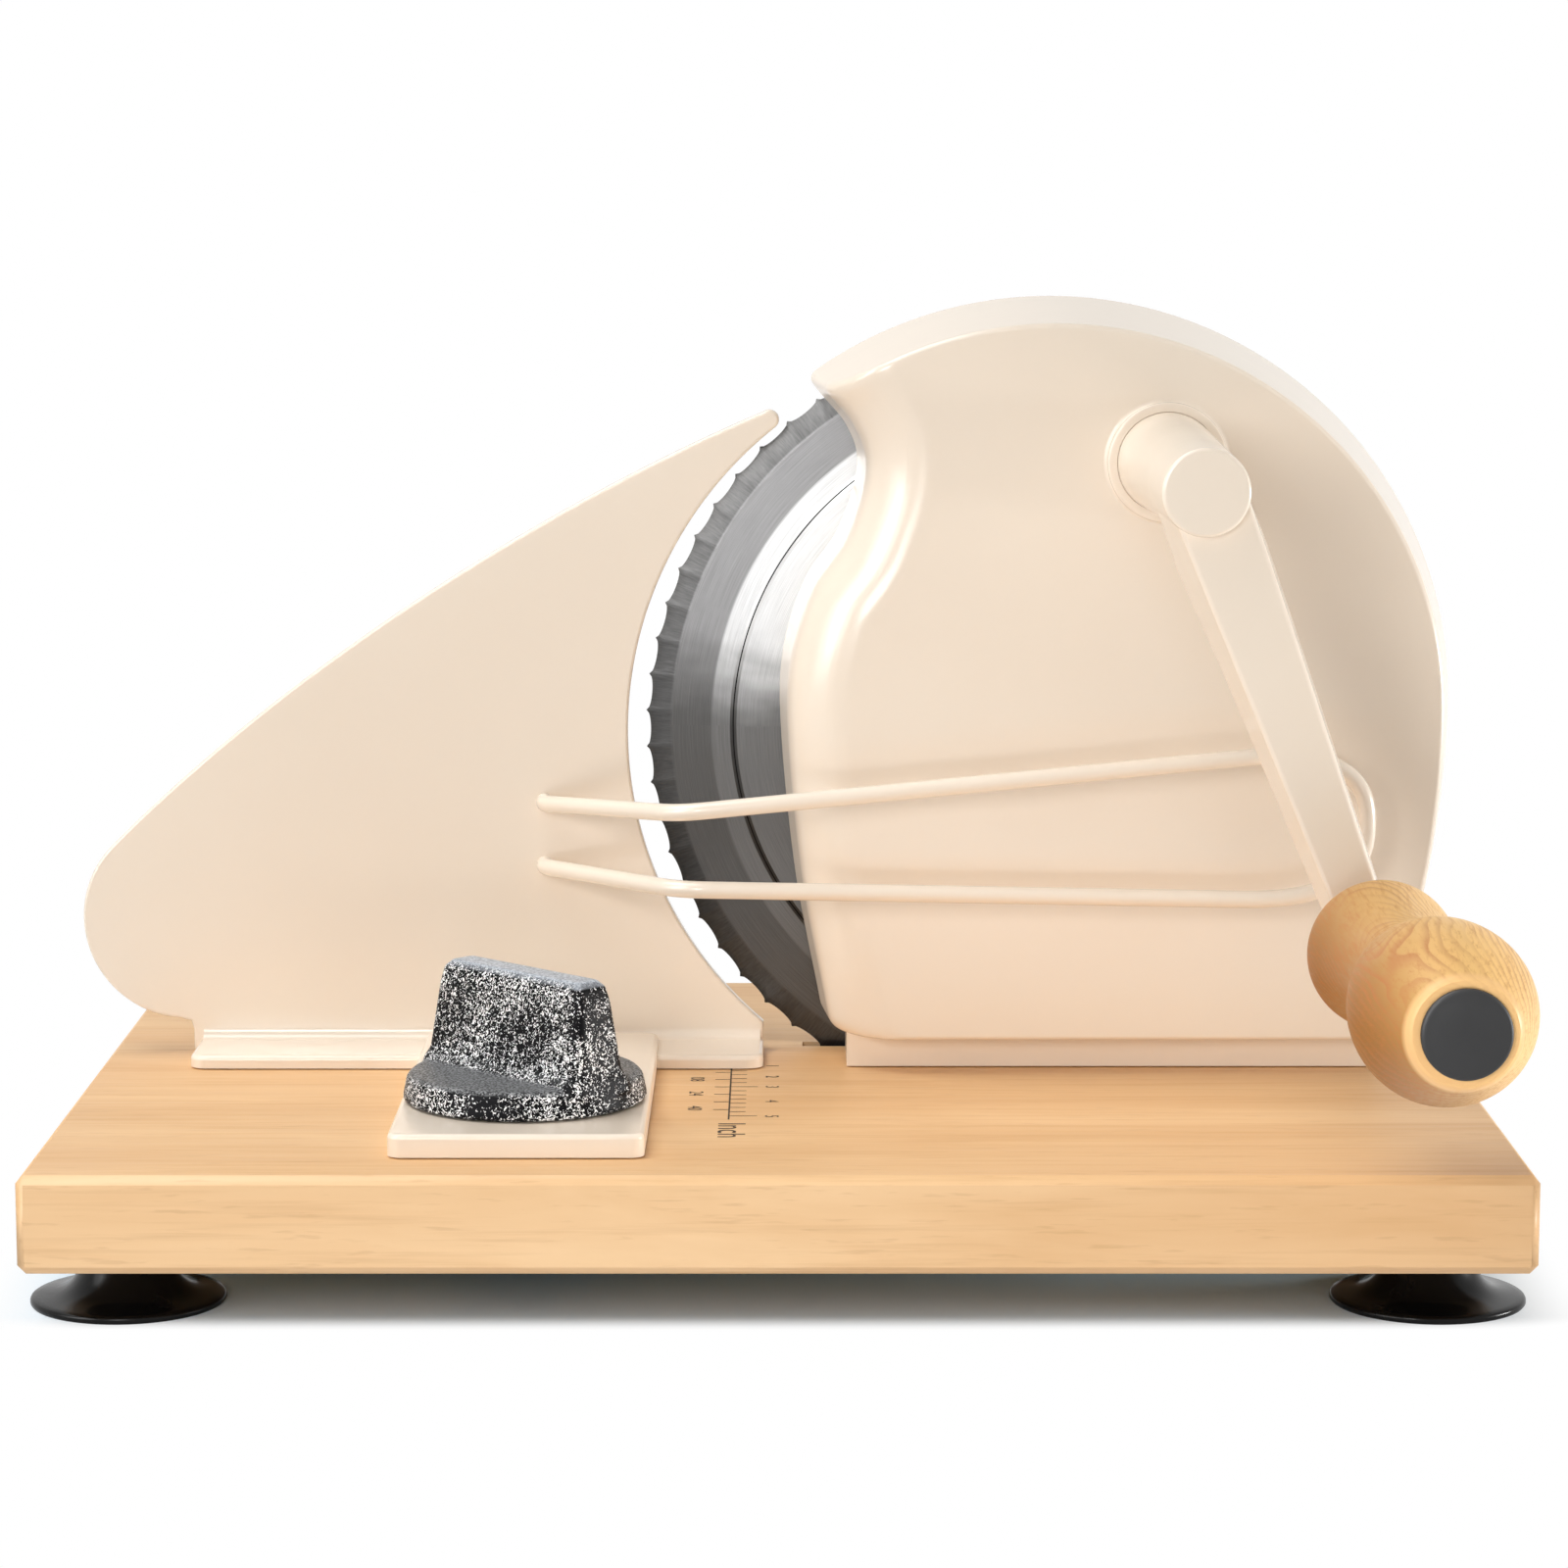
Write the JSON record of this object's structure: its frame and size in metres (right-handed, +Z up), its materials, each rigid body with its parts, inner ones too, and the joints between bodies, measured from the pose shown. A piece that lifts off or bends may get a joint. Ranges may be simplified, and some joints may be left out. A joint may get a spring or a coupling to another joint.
{
  "type": "hand-cranked bread slicer",
  "caption": "Round scalloped blade driven by a hand crank through a gear pair in a cast housing, on a wooden board with suction feet and a sliding stop plate.",
  "frame": {"origin": "on the surface the feet stand on, under the middle of the whole machine", "axes": "+Z up, +X along the board towards the blade's end, -Y towards the person who cranks"},
  "size_m": [0.3286, 0.3168, 0.2154],
  "materials": {
    "cream_enamel": "glossy cream stove enamel",
    "beech": "oiled beech, printed scale on top",
    "grip_wood": "varnished turned wood",
    "black_rubber": "glossy black rubber",
    "blade_steel": "concentric brushed stainless steel",
    "plain_steel": "bare turned steel",
    "bronze": "sintered bronze",
    "gear_nylon": "natural nylon",
    "speckled_grey": "black and white speckled moulding",
    "cap_plastic": "matte dark grey moulding"
  },
  "bodies": {
    "base": {"base_board": "beech", "suction_foot_front_left": "black_rubber", "suction_foot_front_right": "black_rubber", "suction_foot_rear_left": "black_rubber", "suction_foot_rear_right": "black_rubber", "foot_stud_front_left": "plain_steel", "foot_stud_front_right": "plain_steel", "foot_stud_rear_left": "plain_steel", "foot_stud_rear_right": "plain_steel", "gear_housing": "cream_enamel", "housing_screw_left": "plain_steel", "housing_screw_middle": "plain_steel", "housing_screw_right": "plain_steel", "housing_washer_left": "plain_steel", "housing_washer_middle": "plain_steel", "housing_washer_right": "plain_steel", "crank_bushing": "bronze", "blade_axle": "plain_steel", "gear_thrust_washer": "bronze", "blade_retaining_screw": "plain_steel"},
    "crank": {"crank_arm": "cream_enamel", "crank_shaft": "plain_steel", "crank_set_screw": "plain_steel", "pinion": "plain_steel", "pinion_washer": "plain_steel", "pinion_screw": "plain_steel", "handle_bolt": "plain_steel", "handle_nut": "plain_steel", "handle_washer": "plain_steel"},
    "handle": {"wooden_handle": "grip_wood", "handle_end_cap": "cap_plastic"},
    "blade": {"drive_gear": "gear_nylon", "gear_bushing": "bronze", "blade": "blade_steel", "blade_screw_1": "plain_steel", "blade_screw_2": "plain_steel", "blade_screw_3": "plain_steel"},
    "plate": {"stop_plate": "cream_enamel", "slice_guard": "cream_enamel", "lock_washer": "plain_steel", "clamp_nut": "plain_steel"},
    "lock": {"lock_knob": "speckled_grey", "lock_stud": "plain_steel"}
  },
  "joints": [
    {"name": "crank_spin", "type": "hinge", "parent": "base", "child": "crank", "pos_m": [0.08993, -0.0616, 0.17854], "axis": [0, 1, 0], "continuous": true},
    {"name": "blade_spin", "type": "hinge", "parent": "base", "child": "blade", "pos_m": [0.06405, -0.0616, 0.1135], "axis": [0, 1, 0], "continuous": true},
    {"name": "handle_spin", "type": "hinge", "parent": "crank", "child": "handle", "pos_m": [0.12677, -0.0491, 0.08257], "axis": [-0.0244, 0.9993, -0.0279], "continuous": true},
    {"name": "plate_slide", "type": "slide", "parent": "base", "child": "plate", "axis": [0, -1, 0], "range_m": [-0.006, 0.014]},
    {"name": "lock_turn", "type": "hinge", "parent": "plate", "child": "lock", "pos_m": [-0.05495, -0.0076, 0.036], "axis": [0, 0, 1], "range_deg": [0, 180]}
  ],
  "couplings": [
    {"joint": "blade_spin", "follows": "crank_spin", "ratio": -0.2963}
  ]
}
